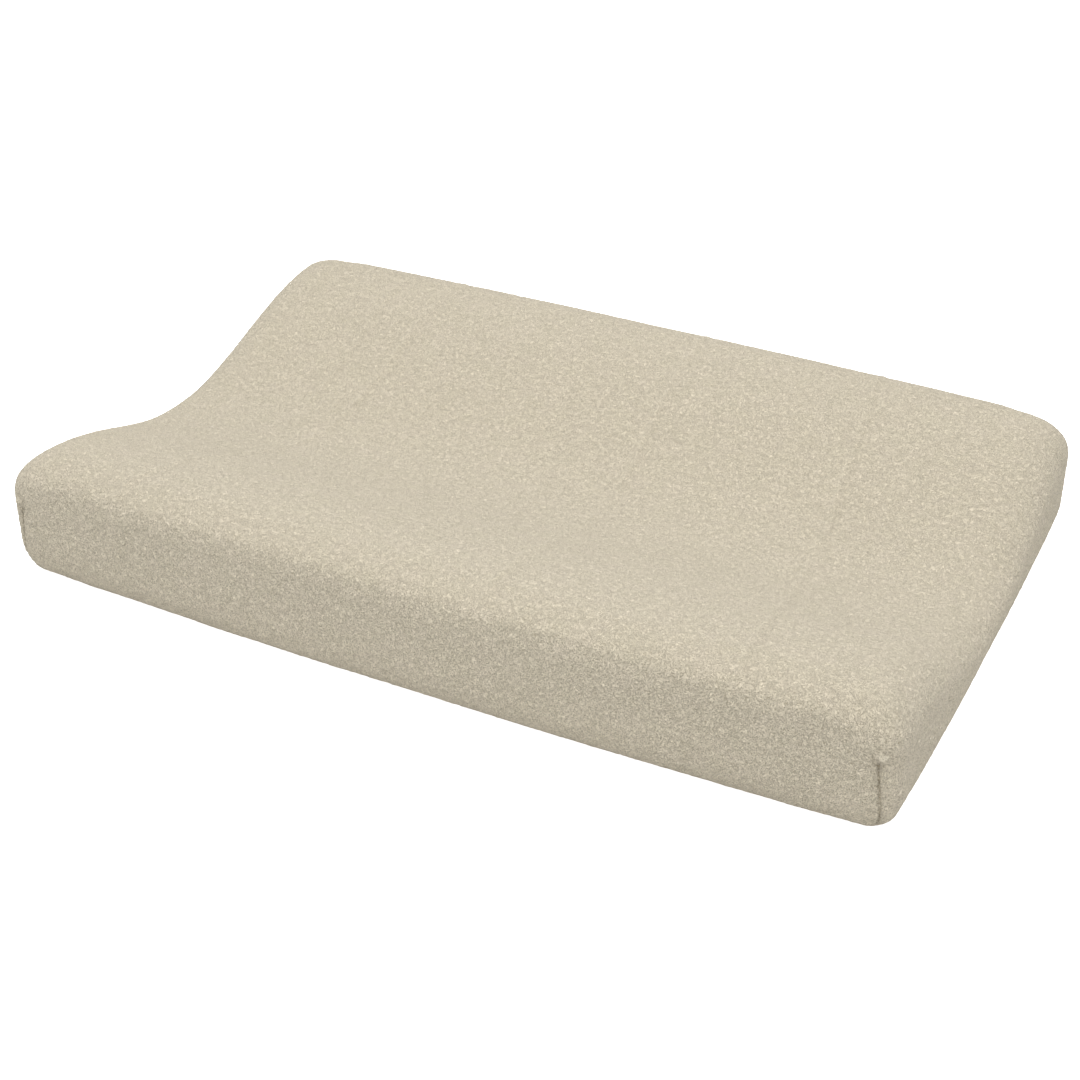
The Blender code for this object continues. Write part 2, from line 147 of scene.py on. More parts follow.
def lattice_noise(points, wavelength, seed):
    """Smooth noise between -1 and 1 at each point. A seed always gives the same noise."""
    draw = np.random.RandomState(seed)
    mix = draw.permutation(4096)
    values = draw.uniform(-1, 1, 4096)
    cell = np.asarray(points) / wavelength
    base = np.floor(cell).astype(np.int64)
    part = cell - base
    ease = part**3 * (part * (part * 6 - 15) + 10)
    total = np.zeros(len(cell))
    for corner in itertools.product((0, 1), repeat=cell.shape[1]):
        key = np.zeros(len(cell), np.int64)
        weight = np.ones(len(cell))
        for axis, step in enumerate(corner):
            key = mix[(key + base[:, axis] + step) & 4095]
            weight = weight * (ease[:, axis] if step else 1 - ease[:, axis])
        total += weight * values[key]
    return total


def ease_between(value, low, high):
    """0 below low, 1 above high and a smooth rise between them."""
    t = np.clip((value - low) / (high - low), 0, 1)
    return t * t * (3 - 2 * t)


def bell(distance, width):
    return np.exp(-((distance / width) ** 2))


# ---------------------------------------------------------------- the pad's skin

def section_height(y):
    rise = (1 - np.cos(pi * np.minimum(np.abs(y) / CREST_OFFSET, 1))) / 2
    return VALLEY + (CREST - VALLEY) * rise


def wall_height(x, y):
    """Height where the walls meet the rounded top edge, lower at the two ends than along the sides."""
    reach = np.abs(x).max()
    share = ease_between(np.abs(x), reach - 55 * MM, reach - 9 * MM)
    raised = (section_height(y) - VALLEY) / (CREST - VALLEY)
    end = END_WALL_LOW + (END_WALL_HIGH - END_WALL_LOW) * raised
    return (1 - share) * (section_height(y) - TOP_DROP) + share * end


def side_points(half_length, half_depth, radius, steps, arc):
    """One side of a rounded rectangle, from corner middle to corner middle."""
    half_arc = np.linspace(0, pi / 4, arc // 2, endpoint=False)
    near = 1.25 * pi + half_arc
    far = 1.5 * pi + half_arc
    straight = np.linspace(radius - half_length, half_length - radius, steps, endpoint=False)
    x = np.concatenate([radius * np.cos(near) + radius - half_length, straight])
    x = np.concatenate([x, radius * np.cos(far) - radius + half_length])
    y = np.concatenate([radius * (1 + np.sin(near)), np.zeros(steps)])
    y = np.concatenate([y, radius * (1 + np.sin(far))]) - half_depth
    return x, y


class Grid:
    """Numbers of points round the pad for one mesh spacing."""

    def __init__(self, spacing):
        self.spacing = spacing
        self.arc = max(4, 2 * round(CORNER_RADIUS * pi / 4 / spacing))
        self.long = round(2 * (HALF_X - CORNER_RADIUS) / spacing)
        self.short = round(2 * (HALF_Y - CORNER_RADIUS) / spacing)
        self.across = self.long + self.arc
        self.along = self.short + self.arc


def outline(grid, side_inset, end_inset, radius):
    """The pad's bowed outline seen from above, moved in by the two insets."""
    half_x = HALF_X - end_inset
    half_y = HALF_Y - side_inset
    front_x, front_y = side_points(half_x, half_y, radius, grid.long, grid.arc)
    right_x, right_y = side_points(half_y, half_x, radius, grid.short, grid.arc)
    x = np.concatenate([front_x, -right_y, -front_x, right_y])
    y = np.concatenate([front_y, right_x, -front_y, -right_x])
    bowed_x = x * (1 + END_BULGE / HALF_X * (1 - (y / HALF_Y) ** 2))
    bowed_y = y * (1 + SIDE_BULGE / HALF_Y * (1 - (x / HALF_X) ** 2))
    return bowed_x, bowed_y


def wall_rings(grid, depth, base, wall_radius):
    """Rings from the pad's underside, round its bottom edge and up to the edge of its top."""
    rings = []
    bottom_steps = round(38 * MM / grid.spacing)
    for i in range(bottom_steps + 1):
        turn = pi / 2 * i / bottom_steps
        inward = 1 - sin(turn)
        inset = depth + (BOTTOM_ROUND - depth) * inward
        radius = wall_radius + (BOTTOM_CORNER_RADIUS - wall_radius) * inward
        x, y = outline(grid, inset, inset, radius)
        rings.append((x, y, np.full(len(x), base + (BOTTOM_RISE - base) * (1 - cos(turn)))))
    wall_steps = max(2, round(50 * MM / grid.spacing))
    x, y = outline(grid, depth, depth, wall_radius)
    wall_top = wall_height(x, y)
    for i in range(1, wall_steps):
        rings.append((x, y, BOTTOM_RISE + (wall_top - BOTTOM_RISE) * i / wall_steps))
    top_steps = max(4, round(40 * MM / grid.spacing))
    for i in range(top_steps + 1):
        turn = pi / 2 * i / top_steps
        inward = 1 - cos(turn)
        side_inset = depth + (TOP_ROUND_SIDE - depth) * inward
        end_inset = depth + (TOP_ROUND_END - depth) * inward
        radius = wall_radius + (TOP_CORNER_RADIUS - wall_radius) * inward
        x, y = outline(grid, side_inset, end_inset, radius)
        drop = section_height(y) - depth - wall_height(x, y)
        rings.append((x, y, section_height(y) - depth - drop * (1 - sin(turn))))
    return [np.stack(ring, 1) for ring in rings]


def patch_points(grid, ring):
    """Points inside a closed ring, as rows of a grid whose edges are the ring's four sides."""
    across, along = grid.across, grid.along
    front = ring[: across + 1]
    right = ring[across : across + along + 1]
    rear = ring[across + along : 2 * across + along + 1][::-1]
    left = np.concatenate([ring[2 * across + along :], ring[:1]])[::-1]
    v = (np.arange(1, along) / along)[:, None, None]
    u = (np.arange(1, across) / across)[None, :, None]
    sides = (1 - v) * front[None, 1:-1] + v * rear[None, 1:-1]
    ends = (1 - u) * left[1:-1, None] + u * right[1:-1, None]
    near = (1 - u) * front[0] + u * front[-1]
    far = (1 - u) * rear[0] + u * rear[-1]
    return sides + ends - (1 - v) * near - v * far


def build_skin(grid, rings, top_depth, floor=None):
    """Vertices and quads of a skin: its rings, its contoured top, and a flat floor if one is asked for."""
    count = len(rings[0])
    points = [np.concatenate(rings)]
    faces = []
    for r in range(len(rings) - 1):
        low, high = r * count, (r + 1) * count
        faces += [(low + i - 1, low + i, high + i, high + i - 1) for i in range(1, count)]
        faces.append((low + count - 1, low, high, high + count - 1))
    closings = [(rings[-1], (len(rings) - 1) * count, False)]
    if floor is not None:
        closings.append((rings[0], 0, True))
    for ring, first, is_floor in closings:
        patch = patch_points(grid, ring)
        patch[..., 2] = floor if is_floor else section_height(patch[..., 1]) - top_depth
        start = sum(len(block) for block in points)
        points.append(patch.reshape(-1, 3))
        index = np.zeros((grid.along + 1, grid.across + 1), int)
        index[1:-1, 1:-1] = start + np.arange(patch.shape[0] * patch.shape[1]).reshape(patch.shape[:2])
        index[0] = first + np.arange(grid.across + 1)
        index[:, -1] = first + grid.across + np.arange(grid.along + 1)
        index[-1] = (first + grid.across + grid.along + np.arange(grid.across + 1))[::-1]
        left = first + (2 * grid.across + grid.along + np.arange(grid.along + 1)) % count
        index[:, 0] = left[::-1]
        index[0, 0] = first
        for row, above in zip(index[:-1], index[1:]):
            for i in range(grid.across):
                quad = (row[i], row[i + 1], above[i + 1], above[i])
                faces.append(tuple(int(k) for k in (quad[::-1] if is_floor else quad)))
    return np.concatenate(points), faces


def new_piece(name, points, faces, material, body="pad"):
    """A mesh piece that rides on a CAD body."""
    mesh = bpy.data.meshes.new(name)
    mesh.from_pydata([tuple(point) for point in points], [], faces)
    mesh.update()
    mesh.shade_smooth()
    mesh.materials.append(material)
    piece = bpy.data.objects.new(name, mesh)
    bpy.context.scene.collection.objects.link(piece)
    if body:
        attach(piece, body)
    return piece


def points_of(mesh):
    found = np.empty(len(mesh.vertices) * 3)
    mesh.vertices.foreach_get("co", found)
    return found.reshape(-1, 3)


def normals_of(mesh):
    found = np.empty(len(mesh.vertices) * 3)
    mesh.vertex_normals.foreach_get("vector", found)
    return found.reshape(-1, 3)


def set_points(mesh, points):
    mesh.vertices.foreach_set("co", np.asarray(points, np.float32).ravel())
    mesh.update()


def evaluated_mesh(piece):
    graph = bpy.context.evaluated_depsgraph_get()
    return bpy.data.meshes.new_from_object(piece.evaluated_get(graph), depsgraph=graph)


def swell(piece, held, pressure, cap):
    """Inflates a skin a little by cloth simulation, with some points held, and applies the result."""
    start = points_of(piece.data)
    group = piece.vertex_groups.new(name="held")
    group.add([int(i) for i in held], 1.0, "REPLACE")
    cloth = piece.modifiers.new("cloth", "CLOTH")
    cloth.settings.quality = 5
    cloth.settings.mass = 0.3
    cloth.settings.tension_stiffness = 25
    cloth.settings.compression_stiffness = 25
    cloth.settings.shear_stiffness = 10
    cloth.settings.bending_stiffness = 2
    cloth.settings.use_pressure = True
    cloth.settings.uniform_pressure_force = pressure
    cloth.settings.vertex_group_mass = "held"
    cloth.settings.effector_weights.gravity = 0
    for step in range(1, CLOTH_FRAMES + 1):
        bpy.context.scene.frame_set(step)
    result = evaluated_mesh(piece)
    moved = points_of(result) - start
    bpy.data.meshes.remove(result)
    piece.modifiers.remove(cloth)
    piece.vertex_groups.remove(group)
    bpy.context.scene.frame_set(1)
    outward = normals_of(piece.data)
    lift = np.sum(moved * outward, axis=1)
    lift = np.clip(lift, -0.25 * cap, cap)
    set_points(piece.data, start + outward * lift[:, None])


def refine(piece, levels):
    """Replaces a piece's mesh with its own subdivision surface."""
    modifier = piece.modifiers.new("refine", "SUBSURF")
    modifier.levels = levels
    modifier.render_levels = levels
    finer = evaluated_mesh(piece)
    piece.modifiers.remove(modifier)
    coarse = piece.data
    piece.data = finer
    bpy.data.meshes.remove(coarse)
    piece.data.shade_smooth()


# ---------------------------------------------------------------- shared shapes

def level_rings(grid, profile):
    """Level outlines at (inset, height) pairs in millimetres, for the pieces under the pad."""
    spread = (OPENING_RADIUS - BOTTOM_CORNER_RADIUS) / (OPENING_INSET - BOTTOM_ROUND)
    rings = []
    for inset_mm, height_mm in profile:
        inset = inset_mm * MM
        radius = BOTTOM_CORNER_RADIUS + spread * (inset - BOTTOM_ROUND)
        x, y = outline(grid, inset, inset, radius)
        rings.append(np.stack([x, y, np.full(len(x), height_mm * MM)], 1))
    return rings


def loft(sections, closed_path):
    """Joins equal closed sections into a tube, with its ends capped when the path is open."""
    rows, count = sections.shape[:2]
    faces = []
    last = rows if closed_path else rows - 1
    for r in range(last):
        low, high = r * count, (r + 1) % rows * count
        for i in range(count):
            j = (i + 1) % count
            faces.append((low + i, low + j, high + j, high + i))
    if not closed_path:
        faces.append(tuple(range(count))[::-1])
        faces.append(tuple(range((rows - 1) * count, rows * count)))
    return sections.reshape(-1, 3), faces


def tube_sections(path, radius, sides, closed_path):
    """Round sections along a path of points."""
    path = np.asarray(path, float)
    if closed_path:
        ahead = np.roll(path, -1, 0) - np.roll(path, 1, 0)
    else:
        ahead = np.gradient(path, axis=0)
    ahead /= np.linalg.norm(ahead, axis=1, keepdims=True)
    helper = np.where(np.abs(ahead[:, 2:]) > 0.9, [[1.0, 0, 0]], [[0, 0, 1.0]])
    across = np.cross(helper, ahead)
    across /= np.linalg.norm(across, axis=1, keepdims=True)
    raised = np.cross(ahead, across)
    turn = 2 * pi * np.arange(sides) / sides
    ring = across[:, None] * np.cos(turn)[None, :, None] + raised[:, None] * np.sin(turn)[None, :, None]
    return path[:, None] + radius * ring


def add_tube(name, path, radius, material, node=None, sides=8, closed_path=False, body="pad"):
    points, faces = loft(tube_sections(path, radius, sides, closed_path), closed_path)
    piece = new_piece(name, points, faces, material, body)
    if node:
        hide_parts(node)


def add_stitch(name, place, reach, start_rise, dip, material):
    """One short stitch that runs along Y and dips under the cloth at its middle."""
    x, y, z = place
    path = [(x, y - reach, z + start_rise), (x, y, z - dip), (x, y + reach, z + start_rise)]
    add_tube(name, path, THREAD_RADIUS, material, sides=6)


def close_sheets(under, over):
    """Joins two equal grids of points, one over the other, into a closed sheet."""
    rows, columns = under.shape[:2]
    total = rows * columns
    faces = []
    for r in range(rows - 1):
        for c in range(columns - 1):
            a = r * columns + c
            quad = (a, a + 1, a + columns + 1, a + columns)
            faces.append(quad[::-1])
            faces.append(tuple(k + total for k in quad))
    rim = list(range(columns)) + [r * columns + columns - 1 for r in range(1, rows)]
    rim += [(rows - 1) * columns + c for c in range(columns - 2, -1, -1)]
    rim += [r * columns for r in range(rows - 2, 0, -1)]
    for a, b in zip(rim, rim[1:] + rim[:1]):
        faces.append((a, b, b + total, a + total))
    return np.concatenate([under.reshape(-1, 3), over.reshape(-1, 3)]), faces


def rim_steps(length, edge, count):
    """Steps along one side of a sheet, closer together at its rims."""
    inner = np.linspace(edge, length - edge, count)
    return np.concatenate([[0, edge / 2], inner, [length - edge / 2, length]])


def add_sheet(name, low, high, material, node, wave=0.0, spacing=4 * MM):
    """A thin soft sheet with round edges that fills a box and waves a little."""
    low, high = np.array(low), np.array(high)
    size = high - low
    columns = max(3, int(size[0] / spacing))
    rows = max(3, int(size[1] / spacing))
    edge = min(1.5 * MM, size[1] / 4)
    x = rim_steps(size[0], edge, columns)
    y = rim_steps(size[1], edge, rows)
    grid_x, grid_y = np.meshgrid(x, y)
    rim = np.minimum(np.minimum(grid_x, size[0] - grid_x), np.minimum(grid_y, size[1] - grid_y)) / edge
    half = size[2] / 2 * np.sqrt(np.clip(1 - (1 - np.clip(rim, 0, 1)) ** 2, 0.04, 1))
    flat = np.stack([grid_x.ravel() + low[0], grid_y.ravel() + low[1]], 1)
    middle = (low[2] + high[2]) / 2 + wave * lattice_noise(flat, 18 * MM, 41).reshape(grid_x.shape)
    under = np.stack([grid_x + low[0], grid_y + low[1], middle - half], 2)
    over = np.stack([grid_x + low[0], grid_y + low[1], middle + half], 2)
    points, faces = close_sheets(under, over)
    piece = new_piece(name, points, faces, material, "pad")
    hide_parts(node)


# ---------------------------------------------------------------- materials

def new_material(name):
    material = bpy.data.materials.new(name)
    material.use_nodes = True
    tree = material.node_tree
    shader = tree.nodes["Principled BSDF"]
    return material, tree, shader


def add_node(tree, kind, **values):
    """A node with its properties and its inputs set by name."""
    made = tree.nodes.new(kind)
    for key, value in values.items():
        if key.startswith("in_"):
            made.inputs[key[3:].replace("_", " ")].default_value = value
        else:
            setattr(made, key, value)
    return made


def link(tree, source, target):
    tree.links.new(source, target)


def terry_material():
    """Looped terry: worm-like loops with painted shade in their gaps, stronger painted shade and highlight
    on the walls than on the top, faint mottling and a soft sheen on its pile.
    """
    material, tree, shader = new_material("terry_sand")
    place = add_node(tree, "ShaderNodeTexCoord")
    wander = add_node(tree, "ShaderNodeTexNoise", in_Scale=210.0, in_Detail=2.0)
    link(tree, place.outputs["Object"], wander.inputs["Vector"])
    bend = add_node(tree, "ShaderNodeVectorMath", operation="MULTIPLY_ADD")
    bend.inputs[1].default_value = (0.005, 0.005, 0.005)
    link(tree, wander.outputs["Color"], bend.inputs[0])
    link(tree, place.outputs["Object"], bend.inputs[2])
    worms = add_node(tree, "ShaderNodeTexNoise", in_Scale=820.0, in_Detail=2.0, in_Roughness=0.6)
    link(tree, bend.outputs["Vector"], worms.inputs["Vector"])
    centred = add_node(tree, "ShaderNodeMath", operation="SUBTRACT")
    centred.inputs[1].default_value = 0.5
    link(tree, worms.outputs["Fac"], centred.inputs[0])
    folded = add_node(tree, "ShaderNodeMath", operation="ABSOLUTE")
    link(tree, centred.outputs["Value"], folded.inputs[0])
    ridge = add_node(tree, "ShaderNodeMapRange", in_From_Min=0.0, in_From_Max=0.16)
    ridge.inputs["To Min"].default_value = 1.0
    ridge.inputs["To Max"].default_value = 0.0
    link(tree, folded.outputs["Value"], ridge.inputs["Value"])
    grain = add_node(tree, "ShaderNodeTexNoise", in_Scale=1300.0, in_Detail=2.0, in_Roughness=0.6)
    link(tree, place.outputs["Object"], grain.inputs["Vector"])
    height = add_node(tree, "ShaderNodeMix", data_type="FLOAT")
    height.inputs["Factor"].default_value = 0.4
    link(tree, ridge.outputs["Result"], height.inputs[2])
    link(tree, grain.outputs["Fac"], height.inputs[3])
    bump = add_node(tree, "ShaderNodeBump", in_Strength=1.0, in_Distance=0.9 * MM)
    link(tree, height.outputs[0], bump.inputs["Height"])
    link(tree, bump.outputs["Normal"], shader.inputs["Normal"])

    # Painted light and shade: faces turned up take the top's colours, walls take the side colours with
    # darker gaps and brighter tips
    facing = add_node(tree, "ShaderNodeNewGeometry")
    parts = add_node(tree, "ShaderNodeSeparateXYZ")
    link(tree, facing.outputs["Normal"], parts.inputs["Vector"])
    painted_shade_by_facing = add_node(tree, "ShaderNodeMapRange", in_From_Min=0.35, in_From_Max=0.92)
    link(tree, parts.outputs["Z"], painted_shade_by_facing.inputs["Value"])
    loops = add_node(tree, "ShaderNodeMix", data_type="RGBA")
    for (low, high), socket in zip((TERRY_SIDE_COLOURS_WITH_PAINTED_SHADE, TERRY_TOP_COLOURS_WITH_PAINTED_SHADE), (6, 7)):
        ramp = add_node(tree, "ShaderNodeValToRGB")
        ramp.color_ramp.elements[0].position = 0.15
        ramp.color_ramp.elements[0].color = low
        ramp.color_ramp.elements[1].position = 0.8
        ramp.color_ramp.elements[1].color = high
        link(tree, height.outputs[0], ramp.inputs["Fac"])
        link(tree, ramp.outputs["Color"], loops.inputs[socket])
    link(tree, painted_shade_by_facing.outputs["Result"], loops.inputs["Factor"])
    mottle = add_node(tree, "ShaderNodeTexNoise", in_Scale=60.0, in_Detail=4.0, in_Roughness=0.65)
    link(tree, place.outputs["Object"], mottle.inputs["Vector"])
    tint = add_node(tree, "ShaderNodeValToRGB")
    tint.color_ramp.elements[0].position = 0.35
    tint.color_ramp.elements[0].color = (0.985, 0.985, 0.965, 1)
    tint.color_ramp.elements[1].position = 0.65
    tint.color_ramp.elements[1].color = (1.01, 1.0, 1.0, 1)
    link(tree, mottle.outputs["Fac"], tint.inputs["Fac"])
    tinted = add_node(tree, "ShaderNodeMix", data_type="RGBA", blend_type="MULTIPLY")
    tinted.inputs["Factor"].default_value = 1.0
    link(tree, loops.outputs[2], tinted.inputs[6])
    link(tree, tint.outputs["Color"], tinted.inputs[7])
    # Painted shade and highlight kept on the cover's mesh: positive values darken the terry towards this
    # colour, negative ones lighten it
    shade = add_node(tree, "ShaderNodeAttribute", attribute_name="painted_light_and_shade")
    dark = add_node(tree, "ShaderNodeMix", data_type="RGBA", blend_type="MULTIPLY", clamp_factor=False)
    dark.inputs[7].default_value = (0.52, 0.49, 0.44, 1)
    link(tree, shade.outputs["Fac"], dark.inputs["Factor"])
    link(tree, tinted.outputs[2], dark.inputs[6])
    link(tree, dark.outputs[2], shader.inputs["Base Color"])
    shader.inputs["Roughness"].default_value = 0.95
    shader.inputs["Specular IOR Level"].default_value = 0.15
    shader.inputs["Sheen Weight"].default_value = 0.25
    shader.inputs["Sheen Roughness"].default_value = 0.6
    shader.inputs["Sheen Tint"].default_value = (1.0, 0.96, 0.88, 1)
    return material


def fabric_material(name, color, rough, scale, kind="WEAVE", depth=0.2 * MM, sheen=0.2, metal=0.0):
    """A simple surface: a woven, grained, porous or brushed relief with a little colour variation."""
    material, tree, shader = new_material(name)
    place = add_node(tree, "ShaderNodeTexCoord")
    if kind == "WEAVE":
        warp = add_node(tree, "ShaderNodeTexWave", in_Scale=scale, bands_direction="X")
        weft = add_node(tree, "ShaderNodeTexWave", in_Scale=scale, bands_direction="Y")
        link(tree, place.outputs["Object"], warp.inputs["Vector"])
        link(tree, place.outputs["Object"], weft.inputs["Vector"])
        relief = add_node(tree, "ShaderNodeMath", operation="MULTIPLY")
        link(tree, warp.outputs["Fac"], relief.inputs[0])
        link(tree, weft.outputs["Fac"], relief.inputs[1])
        height = relief.outputs["Value"]
    elif kind == "PORES":
        cells = add_node(tree, "ShaderNodeTexVoronoi", in_Scale=scale)
        link(tree, place.outputs["Object"], cells.inputs["Vector"])
        height = cells.outputs["Distance"]
    else:
        grain = add_node(tree, "ShaderNodeTexNoise", in_Scale=scale, in_Detail=4.0)
        stretch = add_node(tree, "ShaderNodeMapping")
        stretch.inputs["Scale"].default_value = (0.08, 1, 1) if kind == "BRUSHED" else (1, 1, 1)
        link(tree, place.outputs["Object"], stretch.inputs["Vector"])
        link(tree, stretch.outputs["Vector"], grain.inputs["Vector"])
        height = grain.outputs["Fac"]
    bump = add_node(tree, "ShaderNodeBump", in_Strength=0.5, in_Distance=depth)
    link(tree, height, bump.inputs["Height"])
    link(tree, bump.outputs["Normal"], shader.inputs["Normal"])
    vary = add_node(tree, "ShaderNodeTexNoise", in_Scale=40.0, in_Detail=3.0)
    link(tree, place.outputs["Object"], vary.inputs["Vector"])
    shades = add_node(tree, "ShaderNodeValToRGB")
    shades.color_ramp.elements[0].position = 0.3
    shades.color_ramp.elements[0].color = (*(0.93 * c for c in color), 1)
    shades.color_ramp.elements[1].position = 0.7
    shades.color_ramp.elements[1].color = (*color, 1)
    link(tree, vary.outputs["Fac"], shades.inputs["Fac"])
    link(tree, shades.outputs["Color"], shader.inputs["Base Color"])
    shader.inputs["Roughness"].default_value = rough
    shader.inputs["Metallic"].default_value = metal
    shader.inputs["Sheen Weight"].default_value = sheen
    return material


# ---------------------------------------------------------------- the terry cover

def hem_rings(grid):
    """The margin under the pad, from the inside of the elastic casing out to the bottom edge."""
    profile = [(34, 4.6), (40, 4.9), (47, 4.9), (52, 4.6), (54.5, 3.4), (55.2, 2.2), (54, 0.9), (50, 0.3)]
    profile += [(45, 0.1), (40, 0), (34, 0), (28, 0), (23, 0), (18, 0)]
    return level_rings(grid, profile)


def crease(points, path, width, depth):
    """How far a pressed fold across the pad lifts each point. path gives its x at three places in y."""
    x_at = np.interp(points[:, 1], [-0.2, 0.0, 0.2], path)
    away = points[:, 0] - x_at + 1.5 * MM * lattice_noise(points, 45 * MM, 11)
    strength = 0.65 + 0.35 * lattice_noise(points, 60 * MM, 12)
    return depth * strength * (bell(away, width) - 0.7 * bell(away - 2.4 * width, 1.5 * width))


def creases(points):
    """Faint pressed folds left from packing: three across the pad, two short ones and one along it."""
    lift = crease(points, (-0.2425, -0.2025, -0.1875), 2.6 * MM, 0.85 * MM)
    lift += crease(points, (0.055, 0.046, 0.0375), 2.6 * MM, 0.65 * MM)
    lift += crease(points, (0.235, 0.212, 0.19), 2.6 * MM, 0.8 * MM)
    rear = ease_between(points[:, 1], -0.01, 0.05)
    lift += rear * crease(points, (-0.235, -0.235, -0.235), 2.4 * MM, 0.45 * MM)
    lift += rear * crease(points, (-0.14, -0.14, -0.14), 2.4 * MM, 0.45 * MM)
    middle = bell(points[:, 0] + 0.06, 0.045)
    lift -= middle * 0.35 * MM * bell(points[:, 1] + 0.1525, 2.5 * MM)
    return lift


def end_wrinkles(points):
    """Small pull wrinkles over the top edge of the right end."""
    near = bell(points[:, 0] - (LENGTH / 2 - 17 * MM), 13 * MM) * bell(points[:, 1] - 0.07, 0.04)
    wave = np.cos(2 * pi * (points[:, 1] + 0.35 * points[:, 0]) / (13 * MM))
    near_back = bell(points[:, 0] - 0.2, 0.05) * bell(points[:, 1] - 0.19, 0.02)
    return 0.5 * MM * near * wave + 0.6 * MM * near_back * lattice_noise(points, 28 * MM, 21)


def corner_seams(points):
    """Lift and painted shading of the four stitched corner darts: a groove with puckers and a knot on top.
    The shading is painted shade in the groove and round the knot, and a painted highlight on the knot.
    """
    corner_x = HALF_X - CORNER_RADIUS * (1 - cos(pi / 4))
    corner_y = HALF_Y - CORNER_RADIUS * (1 - cos(pi / 4))
    along = ((np.abs(points[:, 0]) - corner_x) - (np.abs(points[:, 1]) - corner_y)) / 2**0.5
    along += 3 * MM + 7 * MM * points[:, 2] / SEAM_HIGH
    across = np.abs(along)
    outside = np.minimum(np.abs(points[:, 0]) - corner_x, np.abs(points[:, 1]) - corner_y)
    near = ease_between(outside, -18 * MM, -12 * MM)
    height = points[:, 2]
    tall = ease_between(height, SEAM_LOW - 3 * MM, SEAM_LOW)
    tall *= ease_between(-height, -SEAM_HIGH, 2 * MM - SEAM_HIGH)
    groove = near * tall * bell(across, 0.8 * MM)
    valley = near * tall * bell(across, 3.5 * MM)
    pucker = near * tall * bell(across - 3.5 * MM, 3 * MM) * np.sin(2 * pi * height / (5.5 * MM))
    knot = near * bell(height - SEAM_HIGH - 4 * MM, 3.0 * MM) * bell(along - 2.5 * MM, 2.8 * MM)
    dimple = near * bell(height - SEAM_HIGH - 2 * MM, 7 * MM) * bell(along, 7 * MM)
    lift = -1.0 * MM * groove - 0.5 * MM * valley + 0.35 * MM * pucker + 2.8 * MM * knot - 0.9 * MM * dimple
    # The second result is painted shade in the groove and the dimple, and a painted highlight (below zero)
    # on the knot
    return lift, np.clip(groove + 0.35 * dimple - 0.8 * knot, -0.4, 1)


def gathers(points):
    """Small folds where the elastic gathers the margin under the pad."""
    turn = np.arctan2(points[:, 1] / HALF_Y, points[:, 0] / HALF_X)
    inset = np.minimum(HALF_X - np.abs(points[:, 0]), HALF_Y - np.abs(points[:, 1]))
    under = ease_between(-points[:, 2], -5.5 * MM, -5 * MM)
    strength = under * ease_between(inset, 26 * MM, 48 * MM)
    wave = np.cos(150 * turn + 3 * lattice_noise(points, 30 * MM, 31))
    return strength * wave * 0.8 * MM


def add_terry_cover(material):
    grid = Grid(CLOTH_STEP)
    hem = hem_rings(grid)
    skin_rings = hem + wall_rings(grid, SWELL_ROOM, 0.0, CORNER_RADIUS - SWELL_ROOM)
    points, faces = build_skin(grid, skin_rings, SWELL_ROOM)
    cover = new_piece("terry_cover", points, faces, material, body=None)
    held = range((len(hem) + 3) * len(skin_rings[0]))
    swell(cover, held, CLOTH_PRESSURE, CLOTH_CAP)
    refine(cover, REFINE_LEVELS)
    mesh = cover.data
    points = points_of(mesh)
    normals = normals_of(mesh)
    top = ease_between(normals[:, 2], 0.5, 0.9)
    lift = 0.3 * MM * lattice_noise(points, 110 * MM, 1) + 0.15 * MM * lattice_noise(points, 40 * MM, 2)
    folds = top * creases(points)
    lift += folds + end_wrinkles(points) + gathers(points)
    # Painted shading of the corner darts, then painted light and shade along the pressed folds: lighter on
    # their ridges, darker in their hollows
    seam_lift, painted_light_and_shade = corner_seams(points)
    painted_light_and_shade -= 0.11 * folds / MM
    lift += seam_lift
    loops = 1 - 2 * np.abs(lattice_noise(points, 3.0 * MM, 3))
    fuzz = lattice_noise(points, 2.6 * MM, 4)
    lift += 0.22 * MM * loops + 0.16 * MM * fuzz
    moved = points + normals * lift[:, None]
    moved[:, 2] = np.maximum(moved[:, 2], 0)
    set_points(mesh, moved)
    # The painted light and shade is kept on the mesh for the terry material
    dark = mesh.attributes.new("painted_light_and_shade", "FLOAT", "POINT")
    dark.data.foreach_set("value", painted_light_and_shade.astype(np.float32))
    mesh.shade_smooth()
    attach(cover, "pad")
    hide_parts("cover_shell")


def add_cover_lining(material):
    """The back of the terry: the casing's inside, the margin's upper side and the inner walls."""
    grid = Grid(10 * MM)
    rings = level_rings(grid, [(34, 4.6), (34, 3.3), (44, 3.2), (53, 3.2), (53, 1.8), (36, 1.8), (20, 1.8)])
    rings += wall_rings(grid, LINING_DEPTH, HEM_BACK, CORNER_RADIUS - LINING_DEPTH)
    points, faces = build_skin(grid, rings, LINING_DEPTH)
    lining = new_piece("cover_lining", points, [face[::-1] for face in faces], material)


# ---------------------------------------------------------------- pieces under the cover

